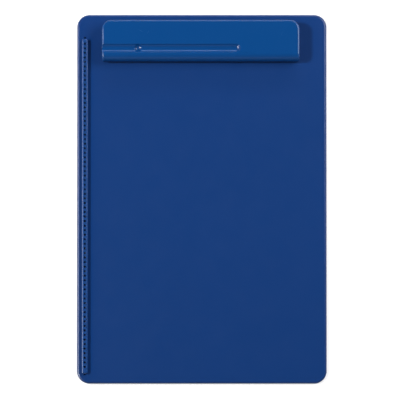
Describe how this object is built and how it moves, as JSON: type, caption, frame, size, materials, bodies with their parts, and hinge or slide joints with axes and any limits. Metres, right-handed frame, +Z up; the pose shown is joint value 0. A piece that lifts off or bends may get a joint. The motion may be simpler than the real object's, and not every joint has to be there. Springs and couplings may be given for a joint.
{
  "type": "clipboard",
  "caption": "Moulded A4 clipboard with a dotted rail along one side and a wide sprung clamp bar with a pen groove across its top.",
  "frame": {"origin": "middle of the board, on the surface that it rests on", "axes": "+X across the board to its right, +Y along the board towards the clamp bar, +Z up out of the writing face"},
  "size_m": [0.23, 0.34, 0.017],
  "materials": {
    "board_plastic": "moulded plastic, satin, royal blue",
    "bar_plastic": "moulded plastic, satin, royal blue",
    "zinc_plate": "zinc-plated pressed sheet",
    "bright_steel": "plain drawn steel",
    "spring_steel": "dark drawn spring wire",
    "grip_rubber": "soft matt elastomer"
  },
  "bodies": {
    "base": {"board": "board_plastic", "paper_rail": "board_plastic", "bracket_left": "zinc_plate", "bracket_right": "zinc_plate", "rivets_left": "bright_steel", "rivets_right": "bright_steel", "spring_left": "spring_steel", "spring_right": "spring_steel"},
    "clamp": {"clamp_bar": "bar_plastic", "grip_strip": "grip_rubber", "hinge_rod": "bright_steel"}
  },
  "joints": [
    {"name": "clamp_hinge", "type": "hinge", "parent": "base", "child": "clamp", "pos_m": [-0.001, 0.1455, 0.01], "axis": [-1, 0, 0], "range_deg": [0, 26], "stiffness_Nm_per_rad": 0.33, "springref_deg": -68.75, "deforming": ["spring_left", "spring_right"]}
  ]
}
